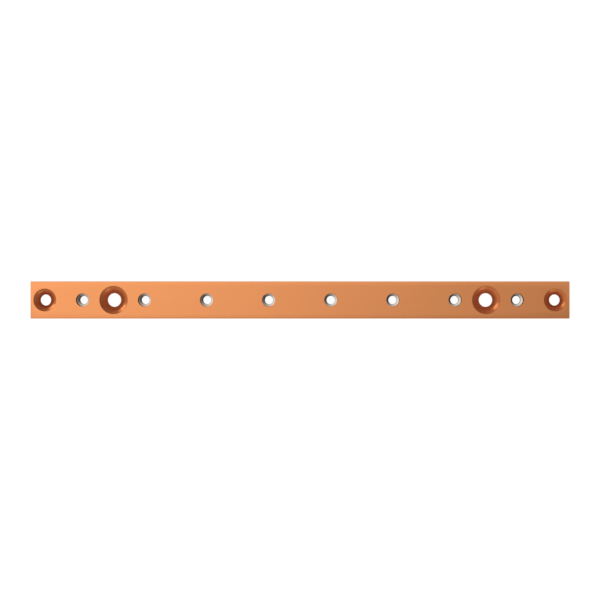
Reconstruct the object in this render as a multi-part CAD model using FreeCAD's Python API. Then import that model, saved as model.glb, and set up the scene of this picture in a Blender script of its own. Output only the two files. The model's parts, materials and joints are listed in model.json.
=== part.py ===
import FreeCAD, Part
import math
import os

# Copper busbar for a switchboard, lying on its terminal nuts with the countersunk face up.
# X runs along the bar, Y across it and Z up. All sizes are in millimetres.
# The origin is under the middle of the bar, in the plane of the nuts' back faces.

# Row of terminals along the bar
TERMINAL_COUNT = 8
TERMINAL_PITCH = 50.0

# Drawn flat copper bar, sawn to length
BAR_WIDTH = 30.0
BAR_THICKNESS = 10.0
BAR_EDGE_RADIUS = 0.5
BAR_END_CHAMFER = 0.3

# Countersunk holes for fixing screws, M8 near the ends and M10 between the outer terminals
COUNTERSINK_ANGLE = 90.0
END_HOLE_DIAMETER = 9.0
END_COUNTERSINK_DEPTH = 4.6
END_HOLE_FROM_TERMINAL = 30.5
END_HOLE_FROM_EDGE = 11.5
SUPPORT_HOLE_DIAMETER = 11.0
SUPPORT_COUNTERSINK_DEPTH = 5.8

# Press-in terminal nut: thread, shank in the bar and head behind it
THREAD_DIAMETER = 8.0
THREAD_PITCH = 1.25
THREAD_ENTRY_MARGIN = 0.2
SHANK_WALL = 1.235
SHANK_LENGTH = 2.21
SHANK_LIP = 0.1
LEAD_IN_ANGLE = 140.0
HEAD_LEDGE = 1.09
HEAD_HEIGHT = 5.48
HEAD_BACK_CHAMFER = 0.7
HEAD_SEAT_CHAMFER = 0.2

# Bevelled collar under the nut's head, which is pressed into the back of the bar
COLLAR_LEDGE = 0.5
COLLAR_HEIGHT = 0.6
CLINCH_CLEARANCE = 0.015

# How far a cutting tool runs past the faces that it opens
CUT_OVERSHOOT = 1.0

# Sizes that follow from those above
ROW_LENGTH = (TERMINAL_COUNT - 1) * TERMINAL_PITCH
BAR_LENGTH = ROW_LENGTH + 2 * (END_HOLE_FROM_TERMINAL + END_HOLE_FROM_EDGE)
BACK_Z = HEAD_HEIGHT
FRONT_Z = BACK_Z + BAR_THICKNESS
ISO_THREAD_DEPTH = 5 / 8 * math.sqrt(3)
THREAD_BORE_RADIUS = (THREAD_DIAMETER - ISO_THREAD_DEPTH * THREAD_PITCH) / 2
THREAD_ENTRY_RADIUS = THREAD_DIAMETER / 2 + THREAD_ENTRY_MARGIN
THREAD_ENTRY_DEPTH = THREAD_ENTRY_RADIUS - THREAD_BORE_RADIUS
SHANK_RADIUS = THREAD_DIAMETER / 2 + SHANK_WALL
LEAD_IN_RADIUS = SHANK_RADIUS - SHANK_LIP
LEAD_IN_DEPTH = (LEAD_IN_RADIUS - THREAD_BORE_RADIUS) / math.tan(math.radians(LEAD_IN_ANGLE / 2))
COLLAR_RADIUS = SHANK_RADIUS + COLLAR_LEDGE
HEAD_RADIUS = SHANK_RADIUS + HEAD_LEDGE
SHANK_TOP_Z = BACK_Z + SHANK_LENGTH
COLLAR_TOP_Z = BACK_Z + COLLAR_HEIGHT

# Places of the holes along the bar
TERMINAL_PLACES = [i * TERMINAL_PITCH - ROW_LENGTH / 2 for i in range(TERMINAL_COUNT)]
END_PLACE = BAR_LENGTH / 2 - END_HOLE_FROM_EDGE
SUPPORT_PLACE = (ROW_LENGTH - TERMINAL_PITCH) / 2


def turned(outline):
    """Solid turned about the Z axis from the corners of its half section, as (radius, height) pairs."""
    corners = [FreeCAD.Vector(radius, 0, height) for radius, height in outline]
    section = Part.Face(Part.makePolygon(corners + corners[:1]))
    return section.revolve(FreeCAD.Vector(0, 0, 0), FreeCAD.Vector(0, 0, 1), 360)


def placed_along_bar(shape, place):
    """Copy of a shape, moved along the bar."""
    return shape.translated(FreeCAD.Vector(place, 0, 0))


def bar_blank():
    """Flat bar with rounded long edges and deburred saw cuts, before it is drilled."""
    corner = FreeCAD.Vector(-BAR_LENGTH / 2, -BAR_WIDTH / 2, BACK_Z)
    blank = Part.makeBox(BAR_LENGTH, BAR_WIDTH, BAR_THICKNESS, corner)
    long_edges = [edge for edge in blank.Edges if edge.BoundBox.XLength > BAR_LENGTH / 2]
    blank = blank.makeFillet(BAR_EDGE_RADIUS, long_edges)
    end_edges = [edge for edge in blank.Edges if edge.BoundBox.XLength < BAR_LENGTH / 2]
    return blank.makeChamfer(BAR_END_CHAMFER, end_edges)


def countersunk_cut(hole_diameter, countersink_depth):
    """What a countersunk screw hole takes out of the bar, sunk from the front face."""
    slope = math.tan(math.radians(COUNTERSINK_ANGLE / 2))
    hole_radius = hole_diameter / 2
    mouth_radius = hole_radius + (countersink_depth + CUT_OVERSHOOT) * slope
    return turned([
        (0, BACK_Z - CUT_OVERSHOOT),
        (hole_radius, BACK_Z - CUT_OVERSHOOT),
        (hole_radius, FRONT_Z - countersink_depth),
        (mouth_radius, FRONT_Z + CUT_OVERSHOOT),
        (0, FRONT_Z + CUT_OVERSHOOT),
    ])


def terminal_cut():
    """What a press-in nut and its screw take out of the bar, with the bevelled seat of the nut's collar."""
    seat_radius = COLLAR_RADIUS + CLINCH_CLEARANCE
    hole_radius = SHANK_RADIUS + CLINCH_CLEARANCE
    return turned([
        (0, BACK_Z - CUT_OVERSHOOT),
        (seat_radius, BACK_Z - CUT_OVERSHOOT),
        (seat_radius, BACK_Z),
        (hole_radius, COLLAR_TOP_Z),
        (hole_radius, FRONT_Z + CUT_OVERSHOOT),
        (0, FRONT_Z + CUT_OVERSHOOT),
    ])


def busbar():
    """Drilled and countersunk bar."""
    end_cut = countersunk_cut(END_HOLE_DIAMETER, END_COUNTERSINK_DEPTH)
    support_cut = countersunk_cut(SUPPORT_HOLE_DIAMETER, SUPPORT_COUNTERSINK_DEPTH)
    nut_cut = terminal_cut()
    cuts = [placed_along_bar(nut_cut, place) for place in TERMINAL_PLACES]
    for side in (-1, 1):
        cuts.append(placed_along_bar(end_cut, side * END_PLACE))
        cuts.append(placed_along_bar(support_cut, side * SUPPORT_PLACE))
    return bar_blank().cut(cuts)


def press_nut():
    """Press-in nut on the Z axis: chamfered round head, bevelled collar, shank, lead-in cone and thread bore."""
    return turned([
        (THREAD_ENTRY_RADIUS, 0),
        (HEAD_RADIUS - HEAD_BACK_CHAMFER, 0),
        (HEAD_RADIUS, HEAD_BACK_CHAMFER),
        (HEAD_RADIUS, BACK_Z - HEAD_SEAT_CHAMFER),
        (HEAD_RADIUS - HEAD_SEAT_CHAMFER, BACK_Z),
        (COLLAR_RADIUS, BACK_Z),
        (SHANK_RADIUS, COLLAR_TOP_Z),
        (SHANK_RADIUS, SHANK_TOP_Z),
        (LEAD_IN_RADIUS, SHANK_TOP_Z),
        (THREAD_BORE_RADIUS, SHANK_TOP_Z - LEAD_IN_DEPTH),
        (THREAD_BORE_RADIUS, THREAD_ENTRY_DEPTH),
    ])


def press_nuts():
    """All the terminal nuts, as separate solids."""
    nut = press_nut()
    return Part.makeCompound([placed_along_bar(nut, place) for place in TERMINAL_PLACES])


os.makedirs("parts", exist_ok=True)
busbar().exportStep("parts/busbar.step")
press_nuts().exportStep("parts/press_nuts.step")
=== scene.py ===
"""Looks of a copper busbar with press-in terminal nuts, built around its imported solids.

The bar lies on its nuts with the countersunk face up, and the camera looks down on it from a
little right of its middle. All sizes are in metres, and come from the frame, its mounts or the
named values below. Azimuths are in degrees, from +X towards +Y.
"""
import json
import logging
import math
from dataclasses import dataclass, field
from enum import Enum
from typing import Any, Callable, Mapping, Sequence

import bmesh
import bpy
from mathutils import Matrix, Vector


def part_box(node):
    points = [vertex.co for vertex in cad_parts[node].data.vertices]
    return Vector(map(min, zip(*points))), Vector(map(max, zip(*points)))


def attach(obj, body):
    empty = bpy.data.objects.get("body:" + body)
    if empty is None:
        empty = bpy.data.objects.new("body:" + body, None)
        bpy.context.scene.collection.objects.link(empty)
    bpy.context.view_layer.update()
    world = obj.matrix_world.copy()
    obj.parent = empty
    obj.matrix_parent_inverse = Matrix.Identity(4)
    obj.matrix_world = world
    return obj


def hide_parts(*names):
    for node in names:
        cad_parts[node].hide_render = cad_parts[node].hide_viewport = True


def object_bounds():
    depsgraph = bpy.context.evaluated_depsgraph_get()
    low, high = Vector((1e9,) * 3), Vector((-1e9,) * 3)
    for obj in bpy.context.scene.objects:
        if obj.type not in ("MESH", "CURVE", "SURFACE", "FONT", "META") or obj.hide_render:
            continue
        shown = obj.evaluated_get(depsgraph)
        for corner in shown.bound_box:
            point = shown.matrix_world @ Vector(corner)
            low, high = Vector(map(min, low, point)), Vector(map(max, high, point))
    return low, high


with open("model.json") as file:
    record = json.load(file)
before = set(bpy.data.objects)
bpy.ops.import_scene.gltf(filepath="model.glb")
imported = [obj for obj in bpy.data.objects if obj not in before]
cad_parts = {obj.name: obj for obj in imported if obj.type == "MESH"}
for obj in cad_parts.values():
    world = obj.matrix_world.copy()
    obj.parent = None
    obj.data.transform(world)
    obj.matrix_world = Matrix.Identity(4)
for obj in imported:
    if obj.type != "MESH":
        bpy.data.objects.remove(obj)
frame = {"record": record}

CAD_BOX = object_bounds()
BODY = "root"
MM = 0.001
NOISE_MIDDLE = 0.5
LOG = logging.getLogger("busbar")

Colour = tuple[float, float, float]
Scale = tuple[float, float, float]
Profile = Sequence[tuple[float, float]]


class CopperCut(Enum):
    """How a copper surface was made."""

    DRAWN = "drawn_copper"
    SUNK = "countersunk_copper"
    DRILLED = "drilled_copper"
    SAWN = "sawn_copper"


class FaceMark(Enum):
    """Names of the face attributes that tell the finishes where they are."""

    SUNK = "sunk_face"
    DRILLED = "drilled_face"
    EDGE = "worn_edge"


class Grain(Enum):
    """Detail and roughness of a noise pattern."""

    FINE = (3.0, 0.6)
    UNEVEN = (3.0, 0.5)
    SOFT = (2.0, 0.5)


class Wire:
    """Output of a node, with operators that add Math nodes to its tree."""

    def __init__(self, bench: "NodeBench", socket: bpy.types.NodeSocket) -> None:
        """Keeps the socket and the bench that can link it."""
        self.bench = bench
        self.socket = socket

    def math(self, operation: str, *values: "Wire | float") -> "Wire":
        """Adds one Math node, with numbers or wires for its sockets in order."""
        return self.bench.add("ShaderNodeMath", {"operation": operation}, dict(enumerate(values)))

    def __add__(self, other: "Wire | float") -> "Wire":
        """Sum."""
        return self.math("ADD", self, other)

    def __radd__(self, other: float) -> "Wire":
        """Sum with a number on the left."""
        return self.math("ADD", other, self)

    def __sub__(self, other: "Wire | float") -> "Wire":
        """Difference."""
        return self.math("SUBTRACT", self, other)

    def __rsub__(self, other: float) -> "Wire":
        """Difference from a number on the left."""
        return self.math("SUBTRACT", other, self)

    def __mul__(self, other: "Wire | float") -> "Wire":
        """Product."""
        return self.math("MULTIPLY", self, other)

    def __rmul__(self, other: float) -> "Wire":
        """Product with a number on the left."""
        return self.math("MULTIPLY", other, self)

    def __truediv__(self, other: "Wire | float") -> "Wire":
        """Quotient."""
        return self.math("DIVIDE", self, other)

    def __rtruediv__(self, other: float) -> "Wire":
        """Quotient of a number on the left."""
        return self.math("DIVIDE", other, self)

    def root(self) -> "Wire":
        """Square root."""
        return self.math("SQRT", self)

    def smaller(self, other: "Wire | float") -> "Wire":
        """Smaller of two values."""
        return self.math("MINIMUM", self, other)

    def larger(self, other: "Wire | float") -> "Wire":
        """Larger of two values."""
        return self.math("MAXIMUM", self, other)

    def clamped(self) -> "Wire":
        """Value held between 0 and 1."""
        return self.larger(0.0).smaller(1.0)

    def output(self, name: str) -> "Wire":
        """Another output of the same node."""
        return Wire(self.bench, self.socket.node.outputs[name])


class NodeBench:
    """Adds and links the nodes of one tree."""

    def __init__(self, tree: bpy.types.NodeTree) -> None:
        """Keeps the tree that the nodes go into."""
        self.tree = tree

    @staticmethod
    def _socket(sockets: Any, key: int | str) -> bpy.types.NodeSocket:
        """Finds an input.

        Args:
            sockets: All the inputs of a node.
            key: The input's place, or its name among the inputs that the node's settings leave on.

        Returns:
            The input.
        """
        if isinstance(key, int):
            return sockets[key]
        return next(socket for socket in sockets if socket.enabled and socket.name == key)

    def _feed(self, target: bpy.types.NodeSocket, value: Any) -> None:
        """Feeds an input.

        Args:
            target: The input.
            value: A wire, a plain value, or a list of wires for an input that takes several.
        """
        if isinstance(value, list):
            for wire in reversed(value):
                self._feed(target, wire)
        elif isinstance(value, Wire):
            self.tree.links.new(value.socket, target)
        else:
            target.default_value = value

    def add(
        self,
        kind: str,
        settings: Mapping[str, Any] | None = None,
        sockets: Mapping[int | str, Any] | None = None,
    ) -> Wire:
        """Adds a node, sets it and then feeds it.

        Args:
            kind: Blender's name of the node's type.
            settings: The node's properties.
            sockets: Values or wires for its inputs, by name or by place.

        Returns:
            The node's first output that its settings leave on, or its first input if it has none.
        """
        node = self.tree.nodes.new(kind)
        for name, value in (settings or {}).items():
            setattr(node, name, value)
        for key, value in (sockets or {}).items():
            self._feed(self._socket(node.inputs, key), value)
        shown = [socket for socket in node.outputs if socket.enabled]
        return Wire(self, shown[0] if shown else node.inputs[0])


class MaterialBench(NodeBench):
    """Bench for one material, with the nodes that the finishes share."""

    @classmethod
    def for_material(cls, name: str) -> tuple["MaterialBench", bpy.types.Material]:
        """Makes an empty material.

        Args:
            name: The material's name.

        Returns:
            Its bench and the material.
        """
        material = bpy.data.materials.new(name)
        material.use_nodes = True
        material.node_tree.nodes.clear()
        return cls(material.node_tree), material

    def here(self) -> Wire:
        """Place on the piece, in metres."""
        return self.add("ShaderNodeTexCoord").output("Object")

    def height(self) -> Wire:
        """Height above the floor, in metres."""
        return self.add("ShaderNodeSeparateXYZ", None, {"Vector": self.here()}).output("Z")

    def noise(self, scale: Scale, grain: Grain) -> Wire:
        """Noise over the piece.

        Args:
            scale: How often the pattern changes along each axis, in times per metre.
            grain: Its detail and roughness.

        Returns:
            Value from 0 to 1, about the middle on average.
        """
        place = self.add("ShaderNodeMapping", None, {"Vector": self.here(), "Scale": scale})
        detail, roughness = grain.value
        sockets = {"Vector": place, "Scale": 1.0, "Detail": detail, "Roughness": roughness}
        return self.add("ShaderNodeTexNoise", {"noise_dimensions": "3D"}, sockets)

    def mix(self, share: Wire, first: Wire | Colour, second: Wire | Colour) -> Wire:
        """Mixes two colours.

        Args:
            share: Share of the second colour.
            first: Colour where the share is 0.
            second: Colour where the share is 1.

        Returns:
            The mixed colour.
        """
        pair = [value if isinstance(value, Wire) else (*value, 1.0) for value in (first, second)]
        sockets = {"Factor": share, "A": pair[0], "B": pair[1]}
        return self.add("ShaderNodeMix", {"data_type": "RGBA"}, sockets)

    def mark(self, mark: FaceMark) -> Wire:
        """Value of a face attribute, 1 on marked faces and 0 elsewhere."""
        settings = {"attribute_type": "GEOMETRY", "attribute_name": mark.value}
        return self.add("ShaderNodeAttribute", settings).output("Fac")

    def bumped(self, height: Wire, depth: float) -> Wire:
        """Normal of a surface with a relief of that height, as a share, and depth, in metres."""
        sockets = {"Strength": 1.0, "Distance": depth, "Height": height}
        return self.add("ShaderNodeBump", None, sockets)

    def finish_surface(self, shader: Wire) -> None:
        """Links a shader to the material's output."""
        self.add("ShaderNodeOutputMaterial", None, {"Surface": shader})


@dataclass(frozen=True)
class OxideAndShadeFilm:
    """Dull film on cut copper, darker than bare copper so that it paints in part of the shade of the
    holes, and on a countersink thinner and paler towards the foot as painted fill light for its
    shaded foot.
    """

    # Film colour, darker than cut copper would be: in part painted shade of the holes.
    film_and_shade_colour: Colour
    share: float
    # Paler colour and smaller share at the foot: painted fill light for the countersink's shaded
    # foot.
    painted_foot_colour: Colour | None = None
    painted_foot_clearing: float = 0.0
    foot: float = 0.0
    rim: float = 0.0
    uneven: float = 0.3
    rough: float = 0.7
    gloss: float = 0.0

    def over(self, bench: MaterialBench, metal: Wire, smudge: Wire, normal: Wire) -> Wire:
        """Lays the film over bare metal.

        Args:
            bench: The material's bench.
            metal: Shader of the bare metal.
            smudge: Noise that makes the film uneven.
            normal: Normal of the surface.

        Returns:
            Shader of the metal under its film.
        """
        colour = (*self.film_and_shade_colour, 1.0)
        share = self.share
        # Painted fill light: the film thins and pales from the rim down to the foot, lifting the
        # shade low in the countersink.
        if self.painted_foot_colour is not None:
            painted_foot_fill = ((self.rim - bench.height()) / (self.rim - self.foot)).clamped()
            colour = bench.mix(painted_foot_fill, self.film_and_shade_colour, self.painted_foot_colour)
            share = self.share - painted_foot_fill * self.painted_foot_clearing
        sockets = {
            "Base Color": colour,
            "Roughness": self.rough,
            "Specular IOR Level": self.gloss,
            "Normal": normal,
        }
        film = bench.add("ShaderNodeBsdfPrincipled", None, sockets)
        share = (share + (smudge - NOISE_MIDDLE) * self.uneven).clamped()
        return bench.add("ShaderNodeMixShader", None, {0: share, 1: metal, 2: film})


@dataclass(frozen=True)
class CopperFinish:
    """Copper as it comes from the drawing bench, the countersink, the drill or the saw."""

    cut: CopperCut
    smooth: float
    rough: float
    line_scale: Scale
    line_depth: float
    film: OxideAndShadeFilm | None = None
    clean: Colour = (0.88, 0.335, 0.126)
    toned: Colour = (0.82, 0.31, 0.116)
    broad_scale: Scale = (16.0, 60.0, 60.0)
    smudge_scale: Scale = (45.0, 90.0, 90.0)
    broad_tone: float = 0.7
    line_tone: float = 0.3
    tone_drop: float = 0.15
    line_dulling: float = 0.6
    smudge_dulling: float = 0.4
    edge_cleaning: float = 0.5
    edge_polish: float = 0.05

    def material(self) -> bpy.types.Material:
        """Builds the material.

        Returns:
            Copper with fine tool lines, soft changes of tone and brighter worn edges.
        """
        bench, material = MaterialBench.for_material(self.cut.value)
        lines = bench.noise(self.line_scale, Grain.FINE)
        broad = bench.noise(self.broad_scale, Grain.SOFT)
        smudge = bench.noise(self.smudge_scale, Grain.UNEVEN)
        worn = bench.mark(FaceMark.EDGE)
        tone = (broad * self.broad_tone + lines * self.line_tone - self.tone_drop).clamped()
        colour = bench.mix(tone, self.clean, self.toned)
        dulling = lines * self.line_dulling + smudge * self.smudge_dulling
        normal = bench.bumped(lines, self.line_depth)
        sockets = {
            "Base Color": bench.mix(worn * self.edge_cleaning, colour, self.clean),
            "Metallic": 1.0,
            "Roughness": self.smooth + (self.rough - self.smooth) * dulling - worn * self.edge_polish,
            "Normal": normal,
        }
        shader = bench.add("ShaderNodeBsdfPrincipled", None, sockets)
        if self.film is not None:
            shader = self.film.over(bench, shader, smudge, normal)
        bench.finish_surface(shader)
        return material


@dataclass(frozen=True)
class ZincFinish:
    """Bright zinc plating on turned steel; its warm, darkened grey is in part a painted reflection of
    the copper around it and painted shade of the bores.
    """

    name: str = "zinc_plating"
    # Warm, darkened greys: in part a painted reflection of the copper around the nuts and painted
    # shade in their bores.
    pale: Colour = (0.67, 0.60, 0.53)
    toned: Colour = (0.58, 0.52, 0.46)
    smooth: float = 0.20
    rough: float = 0.32
    grain_scale: Scale = (900.0, 900.0, 900.0)
    ring_scale: Scale = (60.0, 60.0, 9000.0)
    cloud_scale: Scale = (120.0, 120.0, 120.0)
    cloud_tone: float = 0.7
    grain_tone: float = 0.3
    grain_relief: float = 0.5
    ring_relief: float = 0.5
    relief_depth: float = 0.004 * MM

    def material(self) -> bpy.types.Material:
        """Builds the material.

        Returns:
            Warm grey metal with a fine plated grain over turned rings; the warm cast is in part a
            painted reflection of the copper.
        """
        bench, material = MaterialBench.for_material(self.name)
        grain = bench.noise(self.grain_scale, Grain.FINE)
        rings = bench.noise(self.ring_scale, Grain.SOFT)
        cloud = bench.noise(self.cloud_scale, Grain.SOFT)
        tone = (cloud * self.cloud_tone + grain * self.grain_tone).clamped()
        relief = grain * self.grain_relief + rings * self.ring_relief
        sockets = {
            "Base Color": bench.mix(tone, self.pale, self.toned),
            "Metallic": 1.0,
            "Roughness": self.smooth + (self.rough - self.smooth) * relief,
            "Normal": bench.bumped(relief, self.relief_depth),
        }
        bench.finish_surface(bench.add("ShaderNodeBsdfPrincipled", None, sockets))
        return material


@dataclass(frozen=True)
class FloorFinish:
    """White floor that stays white to the camera and keeps a faint shadow."""

    name: str = "white_floor"
    white: Colour = (0.86, 0.86, 0.86)
    shaded: Colour = (0.2, 0.2, 0.2)
    glow: float = 0.94
    glossy_share: float = 0.4

    def material(self) -> bpy.types.Material:
        """Builds the material.

        Returns:
            Plain matt white for the light, and near white to the camera, to metal and through glass.
        """
        bench, material = MaterialBench.for_material(self.name)
        matt = bench.add("ShaderNodeBsdfDiffuse", None, {"Color": (*self.white, 1.0)})
        shaded = bench.add("ShaderNodeBsdfDiffuse", None, {"Color": (*self.shaded, 1.0)})
        light = bench.add("ShaderNodeEmission", None, {"Strength": self.glow})
        shown = bench.add("ShaderNodeAddShader", None, {0: shaded, 1: light})
        path = bench.add("ShaderNodeLightPath")
        seen = path.output("Is Camera Ray").larger(path.output("Is Transmission Ray"))
        seen = seen.larger(path.output("Is Glossy Ray") * self.glossy_share)
        bench.finish_surface(bench.add("ShaderNodeMixShader", None, {0: seen, 1: matt, 2: shown}))
        return material


def copper_finishes() -> dict[CopperCut, bpy.types.Material]:
    """Makes the copper of the drawn faces, the countersinks, the drilled walls and the sawn ends.

    Returns:
        Materials by the way the surface was made.
    """
    # The countersink film is darker than cut copper in part as painted shade, and thins and pales
    # towards the foot as painted fill light.
    sunk_film = OxideAndShadeFilm(
        film_and_shade_colour=(0.325, 0.055, 0.012),
        painted_foot_colour=(0.33, 0.090, 0.042),
        share=0.76,
        painted_foot_clearing=0.5,
        foot=9.7 * MM,
        rim=15.48 * MM,
    )
    # The drilled walls' dark film paints in part of the shade inside the bores.
    drilled_film = OxideAndShadeFilm(film_and_shade_colour=(0.24, 0.075, 0.03), share=0.75)
    finishes = (
        CopperFinish(
            CopperCut.DRAWN,
            smooth=0.11,
            rough=0.18,
            line_scale=(6.0, 4200.0, 4200.0),
            line_depth=0.002 * MM,
        ),
        CopperFinish(
            CopperCut.SUNK,
            smooth=0.30,
            rough=0.40,
            line_scale=(900.0, 900.0, 5200.0),
            line_depth=0.003 * MM,
            film=sunk_film,
        ),
        CopperFinish(
            CopperCut.DRILLED,
            smooth=0.40,
            rough=0.55,
            line_scale=(900.0, 900.0, 5200.0),
            line_depth=0.004 * MM,
            film=drilled_film,
        ),
        CopperFinish(
            CopperCut.SAWN,
            smooth=0.36,
            rough=0.50,
            line_scale=(500.0, 260.0, 3800.0),
            line_depth=0.006 * MM,
        ),
    )
    return {finish.cut: finish.material() for finish in finishes}


class GeometryTree:
    """Geometry Nodes tree with named inputs, run on one object and turned into a plain mesh."""

    def __init__(self, name: str) -> None:
        """Makes an empty tree with a geometry input and output.

        Args:
            name: The tree's name.
        """
        self.tree = bpy.data.node_groups.new(name, "GeometryNodeTree")
        for way in ("INPUT", "OUTPUT"):
            self.tree.interface.new_socket("Geometry", in_out=way, socket_type="NodeSocketGeometry")
        self.bench = NodeBench(self.tree)
        self.source = self.bench.add("NodeGroupInput")
        self.values: dict[str, Any] = {}

    def input(self, name: str, kind: str, value: Any) -> Wire:
        """Adds a named input.

        Args:
            name: The input's name.
            kind: End of its socket type's name, such as Float or Object.
            value: What the modifier gives it.

        Returns:
            The input, as the nodes read it.
        """
        interface = self.tree.interface
        socket = interface.new_socket(name, in_out="INPUT", socket_type=f"NodeSocket{kind}")
        self.values[socket.identifier] = value
        return self.source.output(name)

    def shape_of(self, name: str, helper: bpy.types.Object) -> Wire:
        """Mesh of a helper object, which is a named input."""
        sockets = {"Object": self.input(name, "Object", helper)}
        return self.bench.add("GeometryNodeObjectInfo", None, sockets).output("Geometry")

    def join(self, *parts: Wire) -> Wire:
        """Joins geometries into one."""
        return self.bench.add("GeometryNodeJoinGeometry", None, {0: list(parts)})

    def realized(self, shape: Wire) -> Wire:
        """Turns instances into plain geometry."""
        return self.bench.add("GeometryNodeRealizeInstances", None, {0: shape})

    def on_points(self, points: Wire, shape: Wire, **more: Wire) -> Wire:
        """Puts a shape on every point, with more inputs of the node by name."""
        sockets = {"Points": points, "Instance": shape, **more}
        return self.bench.add("GeometryNodeInstanceOnPoints", None, sockets)

    def line_of_points(self, count: Wire, spacing: Wire) -> Wire:
        """Points in a row along X, centred on the origin.

        Args:
            count: How many points.
            spacing: Distance from one to the next.

        Returns:
            The points.
        """
        start = self.bench.add("ShaderNodeCombineXYZ", None, {"X": (count - 1) * spacing * -0.5})
        step = self.bench.add("ShaderNodeCombineXYZ", None, {"X": spacing})
        sockets = {"Count": count, "Start Location": start, "Offset": step}
        return self.bench.add("GeometryNodeMeshLine", {"mode": "OFFSET"}, sockets)

    def run(
        self, result: Wire, material: bpy.types.Material, base: bpy.types.Object
    ) -> bpy.types.Mesh:
        """Runs the tree.

        Args:
            result: Geometry that the tree gives, before its instances are realized.
            material: Finish of the result.
            base: Object that carries the tree, which is removed.

        Returns:
            The result as a plain mesh.
        """
        dressed = {"Geometry": self.realized(result), "Material": material}
        last = self.bench.add("GeometryNodeSetMaterial", None, dressed)
        self.bench.add("NodeGroupOutput", None, {0: last})
        modifier = base.modifiers.new(self.tree.name, "NODES")
        modifier.node_group = self.tree
        for identifier, value in self.values.items():
            modifier[identifier] = value
        graph = bpy.context.evaluated_depsgraph_get()
        mesh = bpy.data.meshes.new_from_object(base.evaluated_get(graph), depsgraph=graph)
        base.modifiers.remove(modifier)
        remove_object(base)
        return mesh


def remove_object(shape: bpy.types.Object) -> None:
    """Removes a helper object from the file."""
    bpy.data.objects.remove(shape, do_unlink=True)


def linked(name: str, data: Any) -> bpy.types.Object:
    """Makes an object at the origin and puts it in the scene.

    Args:
        name: The object's name.
        data: Its mesh, light or camera.

    Returns:
        The object.
    """
    made = bpy.data.objects.new(name, data)
    bpy.context.scene.collection.objects.link(made)
    return made


def mesh_from(name: str, build: Callable[[bmesh.types.BMesh], None]) -> bpy.types.Mesh:
    """Makes a mesh from a function that fills a BMesh.

    Args:
        name: The mesh's name.
        build: Function that adds the mesh's faces.

    Returns:
        The mesh.
    """
    work = bmesh.new()
    build(work)
    mesh = bpy.data.meshes.new(name)
    work.to_mesh(mesh)
    work.free()
    return mesh


def add_rings(
    work: bmesh.types.BMesh, rings: Sequence[Sequence[Vector]]
) -> list[bmesh.types.BMFace]:
    """Adds a wall of quads through rings of points.

    Args:
        work: Mesh that gets the faces.
        rings: Closed rings with the same number of points.

    Returns:
        The faces, ring after ring.
    """
    rows = [[work.verts.new(point) for point in ring] for ring in rings]
    faces = []
    for low, high in zip(rows, rows[1:]):
        for i in range(len(low)):
            j = (i + 1) % len(low)
            faces.append(work.faces.new((low[i], low[j], high[j], high[i])))
    return faces


def circle(radius: float, height: float, steps: int) -> list[Vector]:
    """Points of a circle about the Z axis, from the X axis on."""
    angles = [2 * math.pi * i / steps for i in range(steps)]
    return [Vector((radius * math.cos(a), radius * math.sin(a), height)) for a in angles]


def closed_up(mesh: bpy.types.Mesh, gap: float) -> int:
    """Merges doubles, drops specks and turns every face outwards.

    Args:
        mesh: Mesh to mend.
        gap: Distance under which points are one.

    Returns:
        How many edges don't have two faces.
    """
    work = bmesh.new()
    work.from_mesh(mesh)
    bmesh.ops.remove_doubles(work, verts=work.verts[:], dist=gap)
    bmesh.ops.dissolve_degenerate(work, edges=work.edges[:], dist=gap)
    bmesh.ops.recalc_face_normals(work, faces=work.faces[:])
    open_edges = sum(1 for edge in work.edges if len(edge.link_faces) != 2)
    work.to_mesh(mesh)
    work.free()
    return open_edges


@dataclass(frozen=True)
class HoleRow:
    """Row of equal holes along the bar, centred on its middle."""

    count: int
    spacing: float
    radius: float
    length: float

    @classmethod
    def from_mounts(cls, word: str) -> "HoleRow":
        """Reads a row of holes from the frame's mounts.

        Args:
            word: Start of the names of the row's mounts.

        Returns:
            The row.
        """
        row = [mount for mount in frame["record"]["mounts"] if mount["name"].startswith(word)]
        places = sorted(mount["pos_m"][0] for mount in row)
        spacing = (places[-1] - places[0]) / (len(places) - 1)
        sizes = row[0]["dims"]
        return cls(len(row), spacing, sizes["r_mm"] * MM, sizes["length_mm"] * MM)


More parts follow.
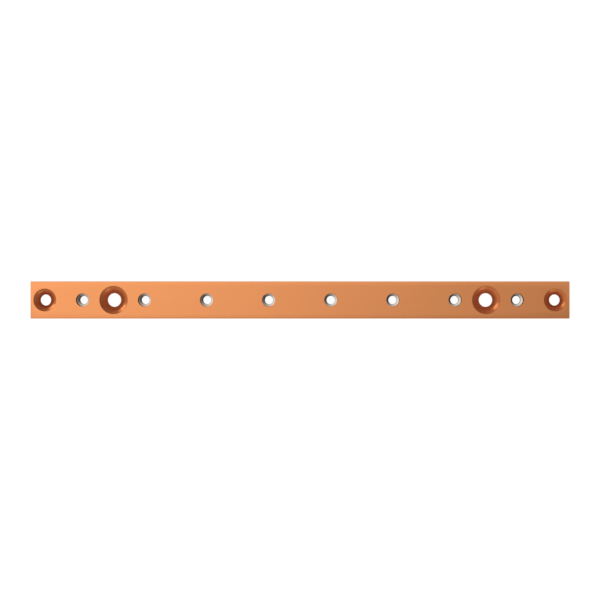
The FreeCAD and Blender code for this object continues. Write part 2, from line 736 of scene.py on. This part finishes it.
@dataclass
class Busbar:
    """Drawn copper bar with its holes."""

    low: Vector
    high: Vector
    ends: HoleRow
    supports: HoleRow
    terminals: HoleRow
    terminal_radius: float = 5.25 * MM
    seat_ledge: float = 0.5 * MM
    seat_depth: float = 0.6 * MM
    edge_radius: float = 0.5 * MM
    end_chamfer: float = 0.3 * MM
    rim: float = 0.12 * MM
    rim_height: float = 0.36 * MM
    edge_steps: int = 6
    circle_steps: int = 96
    merge_gap: float = 0.002 * MM
    sawn_facing: float = 0.9
    sharp_angle: float = 25.0
    finishes: dict[CopperCut, bpy.types.Material] = field(default_factory=copper_finishes)

    @classmethod
    def from_frame(cls) -> "Busbar":
        """Takes the bar's box and its three rows of holes from the frame."""
        words = ("end_screw", "support_screw", "terminal")
        return cls(*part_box("busbar"), *(HoleRow.from_mounts(word) for word in words))

    @property
    def half_length(self) -> float:
        """Half of the bar's length."""
        return (self.high.x - self.low.x) / 2

    @property
    def half_width(self) -> float:
        """Half of the bar's width."""
        return (self.high.y - self.low.y) / 2

    @property
    def half_height(self) -> float:
        """Half of the bar's thickness."""
        return (self.high.z - self.low.z) / 2

    def section(self, place: float, inset: float) -> list[Vector]:
        """Rounded outline across the bar.

        Args:
            place: Where along the bar it lies.
            inset: How far it lies inside the full section.

        Returns:
            Points of the four rounded corners, in order, from the upper one on the +Y side.
        """
        across = self.half_width - self.edge_radius
        up = self.half_height - self.edge_radius
        middle = self.low.z + self.half_height
        radius = self.edge_radius - inset
        points = []
        for quarter, (side, level) in enumerate(((1, 1), (-1, 1), (-1, -1), (1, -1))):
            for step in range(self.edge_steps + 1):
                turn = math.pi / 2 * (quarter + step / self.edge_steps)
                y = side * across + radius * math.cos(turn)
                z = level * up + radius * math.sin(turn)
                points.append(Vector((place, y, middle + z)))
        return points

    def skin(self) -> bpy.types.Mesh:
        """Makes the outer skin of the bar with its deburred ends.

        Returns:
            The skin, open at the two faces that are drilled.
        """
        chamfered = self.half_length - self.end_chamfer
        places = (-self.half_length, -chamfered, chamfered, self.half_length)
        insets = (self.end_chamfer, 0.0, 0.0, self.end_chamfer)
        rings = [self.section(place, inset) for place, inset in zip(places, insets)]
        around = len(rings[0])
        corner = self.edge_steps + 1
        front, back = corner - 1, 3 * corner - 1
        long_span = 1

        def build(work: bmesh.types.BMesh) -> None:
            """Adds the sections and the sawn ends, and marks the rounded and chamfered edges.

            Args:
                work: Mesh that gets the faces.
            """
            worn = work.faces.layers.float.new(FaceMark.EDGE.value)
            faces = add_rings(work, rings)
            for place, face in enumerate(faces):
                span, side = divmod(place, around)
                flat = span == long_span and (side + 1) % corner == 0
                face[worn] = 0.0 if flat else 1.0
            for side in (front, back):
                work.faces.remove(faces[long_span * around + side])
            for ring in (rings[0], rings[-1]):
                work.faces.new([work.verts.new(point) for point in ring])

        return mesh_from("bar_skin", build)

    def lining(self, name: str, profile: Profile) -> bpy.types.Object:
        """Makes the wall of one hole on the Z axis.

        Args:
            name: Name of the helper object.
            profile: Radius and height of the wall, from the front to the back.

        Returns:
            Helper object that holds the wall.
        """
        rings = [circle(radius, height, self.circle_steps) for radius, height in profile]

        def build(work: bmesh.types.BMesh) -> None:
            """Adds the rings and marks the slopes, the bores and the rims.

            Args:
                work: Mesh that gets the faces.
            """
            layers = {mark: work.faces.layers.float.new(mark.value) for mark in FaceMark}
            for place, face in enumerate(add_rings(work, rings)):
                (wide, top), (narrow, bottom) = profile[place // self.circle_steps:][:2]
                sloping = wide != narrow
                face[layers[FaceMark.DRILLED]] = float(not sloping)
                face[layers[FaceMark.SUNK]] = float(sloping)
                face[layers[FaceMark.EDGE]] = float(sloping and top - bottom < self.rim_height)

        return linked(name, mesh_from(name, build))

    def countersunk_profile(self, row: HoleRow) -> Profile:
        """Half section of a countersunk hole.

        Args:
            row: The row that the hole is in.

        Returns:
            Radius and height of its wall, from the front to the back.
        """
        sink = self.high.z - self.low.z - row.length
        mouth = row.radius + sink
        return [
            (mouth + self.rim, self.high.z),
            (mouth - self.rim, self.high.z - self.rim),
            (row.radius + self.rim, self.high.z - sink + self.rim),
            (row.radius, self.high.z - sink - self.rim),
            (row.radius, self.low.z + self.rim),
            (row.radius + self.rim, self.low.z),
        ]

    def terminal_profile(self) -> Profile:
        """Half section of a terminal hole.

        Returns:
            Radius and height of its wall, from the front to the seat of the nut's collar.
        """
        return [
            (self.terminal_radius + self.rim, self.high.z),
            (self.terminal_radius, self.high.z - self.rim),
            (self.terminal_radius, self.low.z + self.seat_depth),
            (self.terminal_radius + self.seat_ledge, self.low.z),
        ]

    def drilled(self) -> bpy.types.Mesh:
        """Runs the tree that drills the bar.

        Returns:
            The whole bar as one mesh, with its seams still open.
        """
        tree = GeometryTree("drilled_bar")
        steps = tree.input("Circle Steps", "Int", self.circle_steps)
        length = tree.input("Face Length", "Float", 2 * (self.half_length - self.end_chamfer))
        width = tree.input("Face Width", "Float", 2 * (self.half_width - self.edge_radius))
        holes = (
            ("Terminal", self.terminals, self.terminal_profile()),
            ("Support", self.supports, self.countersunk_profile(self.supports)),
            ("End", self.ends, self.countersunk_profile(self.ends)),
        )
        heights = {"Front": self.high.z, "Back": self.low.z}
        loops: dict[str, list[Wire]] = {side: [] for side in heights}
        walls, helpers = [], []
        for word, row, profile in holes:
            helpers.append(self.lining(f"{word.lower()}_hole_wall", profile))
            count = tree.input(f"{word} Count", "Int", row.count)
            points = tree.line_of_points(count, tree.input(f"{word} Spacing", "Float", row.spacing))
            walls.append(tree.on_points(points, tree.shape_of(f"{word} Wall", helpers[-1])))
            for side, (radius, _) in zip(heights, (profile[0], profile[-1])):
                size = tree.input(f"{word} {side} Radius", "Float", radius)
                sockets = {"Resolution": steps, "Radius": size}
                ring = tree.bench.add("GeometryNodeCurvePrimitiveCircle", None, sockets)
                loops[side].append(tree.on_points(points, ring))
        sockets = {0: length, 1: width}
        outline = tree.bench.add("GeometryNodeCurvePrimitiveQuadrilateral", None, sockets)
        faces = []
        for side, height in heights.items():
            sockets = {"Curve": tree.realized(tree.join(outline, *loops[side]))}
            flat = tree.bench.add("GeometryNodeFillCurve", None, sockets)
            sockets = {"Geometry": flat, "Translation": (0.0, 0.0, height)}
            faces.append(tree.bench.add("GeometryNodeTransform", None, sockets))
        whole = tree.join(tree.source, *faces, *walls)
        mesh = tree.run(whole, self.finishes[CopperCut.DRAWN], linked("bar_skin", self.skin()))
        for helper in helpers:
            remove_object(helper)
        return mesh

    def dress(self, mesh: bpy.types.Mesh) -> None:
        """Gives the faces their finishes, with flat faces flat and turned faces smooth.

        Args:
            mesh: The bar.
        """
        mesh.materials.clear()
        order = list(CopperCut)
        for cut in order:
            mesh.materials.append(self.finishes[cut])
        marks = {mark: mesh.attributes[mark.value].data for mark in FaceMark}
        for polygon in mesh.polygons:
            marked = {mark for mark in FaceMark if round(marks[mark][polygon.index].value)}
            cut = CopperCut.DRAWN
            if FaceMark.SUNK in marked:
                cut = CopperCut.SUNK
            elif FaceMark.DRILLED in marked:
                cut = CopperCut.DRILLED
            elif abs(polygon.normal.x) > self.sawn_facing:
                cut = CopperCut.SAWN
            polygon.material_index = order.index(cut)
            polygon.use_smooth = bool(marked)
        mesh.set_sharp_from_angle(angle=math.radians(self.sharp_angle))

    def build(self) -> bpy.types.Object:
        """Makes the bar in place of its solid.

        Returns:
            The finished piece.
        """
        mesh = self.drilled()
        open_edges = closed_up(mesh, self.merge_gap)
        self.dress(mesh)
        bar = linked("drawn_bar", mesh)
        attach(bar, BODY)
        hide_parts("busbar")
        LOG.info("drawn_bar: %d faces, %d open edges", len(mesh.polygons), open_edges)
        return bar


@dataclass
class PressNuts:
    """Row of press-in nuts with their M8 threads cut."""

    low: Vector
    high: Vector
    seat_z: float
    terminals: HoleRow
    thread_radius: float = 4.0 * MM
    thread_pitch: float = 1.25 * MM
    thread_crest: float = 1 / 8
    thread_root: float = 7 / 16
    thread_run_out: float = 0.8 * MM
    entry_margin: float = 0.2 * MM
    lead_in_radius: float = 5.135 * MM
    lead_in_angle: float = 140.0
    shank_radius: float = 5.235 * MM
    shank_edge: float = 0.05 * MM
    collar_ledge: float = 0.5 * MM
    collar_height: float = 0.6 * MM
    back_chamfer: float = 0.7 * MM
    seat_chamfer: float = 0.2 * MM
    circle_steps: int = 72
    steps_per_turn: int = 12
    seed: int = 7
    merge_gap: float = 0.002 * MM
    sharp_angle: float = 28.0
    finish: ZincFinish = ZincFinish()

    @classmethod
    def from_frame(cls, bar: Busbar) -> "PressNuts":
        """Takes the nuts' box from the frame, and their row and seat from the bar that holds them."""
        return cls(*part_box("press_nuts"), bar.low.z, bar.terminals)

    @property
    def head_radius(self) -> float:
        """Radius of the head."""
        return (self.high.y - self.low.y) / 2

    @property
    def thread_bore(self) -> float:
        """Radius of the thread's crests."""
        return self.terminals.radius

    @property
    def entry_radius(self) -> float:
        """Radius of the thread's chamfer at the back face."""
        return self.thread_radius + self.entry_margin

    @property
    def lead_in_foot(self) -> float:
        """Height of the foot of the lead-in cone above the back face."""
        slope = math.tan(math.radians(self.lead_in_angle / 2))
        return self.high.z - self.low.z - (self.lead_in_radius - self.thread_bore) / slope

    def outer_profile(self) -> Profile:
        """Half section of the nut's outside.

        Returns:
            Radius and height, from the thread's chamfer at the back to the lead-in cone.
        """
        return [
            (self.entry_radius, self.low.z),
            (self.head_radius - self.back_chamfer, self.low.z),
            (self.head_radius, self.low.z + self.back_chamfer),
            (self.head_radius, self.seat_z - self.seat_chamfer),
            (self.head_radius - self.seat_chamfer, self.seat_z),
            (self.shank_radius + self.collar_ledge, self.seat_z),
            (self.shank_radius, self.seat_z + self.collar_height),
            (self.shank_radius, self.high.z - self.shank_edge),
            (self.shank_radius - self.shank_edge, self.high.z),
            (self.lead_in_radius, self.high.z),
        ]

    def thread_depth(self, phase: float) -> float:
        """Depth of the thread's groove, between flat crests and flat roots.

        Args:
            phase: Place along the thread's pitch, in turns.

        Returns:
            Share of the full depth.
        """
        from_crest = 0.5 - abs(phase % 1.0 - 0.5) - self.thread_crest
        return min(max(from_crest / (self.thread_root - self.thread_crest), 0.0), 1.0)

    def thread_point(self, angle: float, height: float) -> Vector:
        """Point on the wall of the thread.

        Args:
            angle: Angle about the nut's axis.
            height: Height above the nut's back face.

        Returns:
            The point, in the groove, on the crest or on the back chamfer.
        """
        phase = height / self.thread_pitch - angle / (2 * math.pi)
        run_out = min((self.lead_in_foot - height) / self.thread_run_out, 1.0)
        groove = (self.thread_radius - self.thread_bore) * self.thread_depth(phase) * run_out
        radius = max(self.thread_bore + groove, self.entry_radius - height)
        return Vector((radius * math.cos(angle), radius * math.sin(angle), self.low.z + height))

    def one_nut(self) -> bpy.types.Mesh:
        """Makes one nut on the Z axis.

        Returns:
            Its mesh, with the seams of the bore still open.
        """
        rows = round(self.lead_in_foot / self.thread_pitch * self.steps_per_turn)
        heights = [self.lead_in_foot * row / rows for row in range(rows + 1)]
        angles = [2 * math.pi * i / self.circle_steps for i in range(self.circle_steps)]
        bore = [[self.thread_point(angle, height) for angle in angles] for height in heights]
        bore.append(circle(self.lead_in_radius, self.high.z, self.circle_steps))
        outside = [circle(*corner, self.circle_steps) for corner in self.outer_profile()]

        def build(work: bmesh.types.BMesh) -> None:
            """Adds the outside and the thread."""
            add_rings(work, outside)
            add_rings(work, bore)

        return mesh_from("one_nut", build)

    def row(self, nut: bpy.types.Object) -> bpy.types.Mesh:
        """Runs the tree that sets the nuts along the bar, each turned by chance as it was pressed in.

        Args:
            nut: Helper object that holds one nut.

        Returns:
            All the nuts as one mesh.
        """
        tree = GeometryTree("row_of_nuts")
        count = tree.input("Count", "Int", self.terminals.count)
        pitch = tree.input("Pitch", "Float", self.terminals.spacing)
        sockets = {"Min": 0.0, "Max": math.tau, "Seed": tree.input("Seed", "Int", self.seed)}
        chance = tree.bench.add("FunctionNodeRandomValue", {"data_type": "FLOAT"}, sockets)
        turn = tree.bench.add("ShaderNodeCombineXYZ", None, {"Z": chance})
        points = tree.line_of_points(count, pitch)
        nuts = tree.on_points(points, tree.shape_of("Nut", nut), Rotation=turn)
        base = linked("nut_row", bpy.data.meshes.new("nut_row"))
        return tree.run(nuts, self.finish.material(), base)

    def build(self) -> bpy.types.Object:
        """Makes the nuts in place of their solids.

        Returns:
            The finished piece.
        """
        single = self.one_nut()
        open_edges = closed_up(single, self.merge_gap)
        helper = linked("one_nut", single)
        mesh = self.row(helper)
        remove_object(helper)
        mesh.shade_smooth()
        mesh.set_sharp_from_angle(angle=math.radians(self.sharp_angle))
        nuts = linked("threaded_nuts", mesh)
        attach(nuts, BODY)
        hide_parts("press_nuts")
        LOG.info("threaded_nuts: %d faces, %d open edges on one nut", len(mesh.polygons), open_edges)
        return nuts


@dataclass(frozen=True)
class SoftLamp:
    """Oval soft lamp, hung low enough to light the walls of the countersinks."""

    name: str
    azimuth: float
    elevation: float
    width: float
    height: float
    power: float
    reach: float = 4.0

    def hang(self, target: Vector) -> None:
        """Hangs the lamp.

        Args:
            target: Point that it faces.
        """
        light = bpy.data.lights.new(self.name, "AREA")
        light.shape = "ELLIPSE"
        light.size = self.width
        light.size_y = self.height
        light.energy = self.power
        lamp = linked(self.name, light)
        turn, rise = math.radians(self.azimuth), math.radians(self.elevation)
        level = math.cos(rise)
        toward = Vector((level * math.cos(turn), level * math.sin(turn), math.sin(rise)))
        lamp.location = target + self.reach * toward
        lamp.rotation_mode = "QUATERNION"
        lamp.rotation_quaternion = toward.to_track_quat("Z", "Y")
        LOG.info("%s: %.1f W", self.name, self.power)


@dataclass(frozen=True)
class Room:
    """Walls that darken to one side, under a ceiling that brightens to one side.

    Levels are strengths, of which 1 is white. Heights are those of a direction, from 0 at the
    horizon to 1 overhead.
    """

    walls: float = 0.77
    walls_tilt: float = 0.5
    walls_dark_azimuth: float = 38.0
    ceiling: float = 0.83
    ceiling_droop: float = 0.9
    ceiling_least: float = 0.04
    ceiling_swing: float = 0.70
    ceiling_reach: float = 0.22
    ceiling_spread: float = 0.6
    ceiling_bright_azimuth: float = 156.0
    ceiling_edge: float = 0.62
    ceiling_fade: float = 0.1
    horizon_top: float = 0.06
    horizon_fade: float = 0.05
    white: Colour = (1.0, 1.0, 1.0)

    @staticmethod
    def along(way: Wire, azimuth: float) -> Wire:
        """How far a direction points to an azimuth, from -1 to 1."""
        turn = math.radians(azimuth)
        return way.output("X") * math.cos(turn) + way.output("Y") * math.sin(turn)

    def ceiling_level(self, way: Wire) -> Wire:
        """Level of the ceiling.

        Args:
            way: The parts of the direction.

        Returns:
            Level that changes fastest overhead, and never falls below the least one.
        """
        aside = 1.0 - way.output("Z") * way.output("Z")
        reach = self.ceiling_reach + self.ceiling_spread * aside.root()
        share = (self.along(way, self.ceiling_bright_azimuth) / reach).larger(-1.0).smaller(1.0)
        level = self.ceiling - self.ceiling_droop * aside + self.ceiling_swing * share
        return level.larger(self.ceiling_least)

    def wall_level(self, way: Wire) -> Wire:
        """Level of the walls."""
        return self.walls * (1.0 - self.walls_tilt * self.along(way, self.walls_dark_azimuth))

    def build(self) -> None:
        """Sets up the world, which is white to the camera and has a white horizon for metal."""
        world = bpy.data.worlds.new("white_cove")
        bpy.context.scene.world = world
        world.use_nodes = True
        world.node_tree.nodes.clear()
        bench = NodeBench(world.node_tree)
        toward = bench.add("ShaderNodeTexCoord").output("Generated")
        way = bench.add("ShaderNodeSeparateXYZ", None, {"Vector": toward})
        overhead = ((way.output("Z") - self.ceiling_edge) / self.ceiling_fade).clamped()
        walls = self.wall_level(way)
        level = walls + overhead * (self.ceiling_level(way) - walls)
        horizon = ((self.horizon_top - way.output("Z")) / self.horizon_fade).clamped()
        path = bench.add("ShaderNodeLightPath")
        seen = path.output("Is Camera Ray").larger(path.output("Is Transmission Ray"))
        seen = seen.larger(horizon * path.output("Is Glossy Ray"))
        colour = (*self.white, 1.0)
        room = bench.add("ShaderNodeBackground", None, {"Color": colour, "Strength": level})
        cove = bench.add("ShaderNodeBackground", None, {"Color": colour, "Strength": 1.0})
        both = bench.add("ShaderNodeMixShader", None, {0: seen, 1: room, 2: cove})
        bench.add("ShaderNodeOutputWorld", None, {"Surface": both})
        LOG.info("room: ceiling at %.2f, walls at %.2f", self.ceiling, self.walls)


@dataclass
class Studio:
    """White floor, soft lamps, pale room and the camera over the bar."""

    low: Vector
    high: Vector
    photo_side: float = 600.0
    bar_left_px: float = 30.35
    bar_right_px: float = 569.62
    axis_px: float = 322.0
    aim_px: float = 0.3
    camera_distance: float = 1.63
    sensor_mm: float = 36.0
    floor_side: float = 12.0
    floor_finish: FloorFinish = FloorFinish()
    room: Room = Room()
    lamps: tuple[SoftLamp, ...] = (
        SoftLamp("low_upper_left", azimuth=145.0, elevation=6.0, width=2.5, height=0.7, power=48.0),
        SoftLamp("low_lower_right", azimuth=296.0, elevation=7.0, width=2.4, height=0.9, power=12.0),
    )

    def floor(self) -> None:
        """Lays the floor under the nuts."""
        half = self.floor_side / 2
        corners = [(-half, -half), (half, -half), (half, half), (-half, half)]

        def build(work: bmesh.types.BMesh) -> None:
            """Adds one square."""
            work.faces.new([work.verts.new((x, y, self.low.z)) for x, y in corners])

        mesh = mesh_from("floor", build)
        mesh.materials.append(self.floor_finish.material())
        floor = linked("floor", mesh)
        LOG.info("floor: %.1f m square", self.floor_side)

    def camera(self) -> None:
        """Hangs the camera over the bar, a little right of its middle, and aims it at the middle."""
        per_pixel = (self.high.x - self.low.x) / (self.bar_right_px - self.bar_left_px)
        aside = (self.axis_px - (self.bar_left_px + self.bar_right_px) / 2) * per_pixel
        off_aim = aside - self.aim_px * per_pixel
        data = bpy.data.cameras.new("camera")
        data.sensor_width = self.sensor_mm
        data.lens = self.sensor_mm * self.camera_distance / (self.photo_side * per_pixel)
        camera = linked("camera", data)
        camera.location = (aside, 0.0, self.high.z + self.camera_distance)
        camera.rotation_euler.y = math.atan(off_aim / self.camera_distance)
        bpy.context.scene.camera = camera
        LOG.info("camera: %.1f mm lens", data.lens)

    def build(self) -> None:
        """Sets up the whole studio."""
        bpy.context.scene.view_settings.view_transform = "Standard"
        self.floor()
        for lamp in self.lamps:
            lamp.hang(Vector((0.0, 0.0, self.high.z)))
        self.room.build()
        self.camera()


def main() -> None:
    """Builds the bar, its nuts and the studio, in that order."""
    logging.basicConfig(level=logging.INFO, format="%(name)s: %(message)s")
    bar = Busbar.from_frame()
    bar.build()
    PressNuts.from_frame(bar).build()
    Studio(low=Vector(CAD_BOX[0]), high=Vector(CAD_BOX[1])).build()


if __name__ == "__main__":
    main()
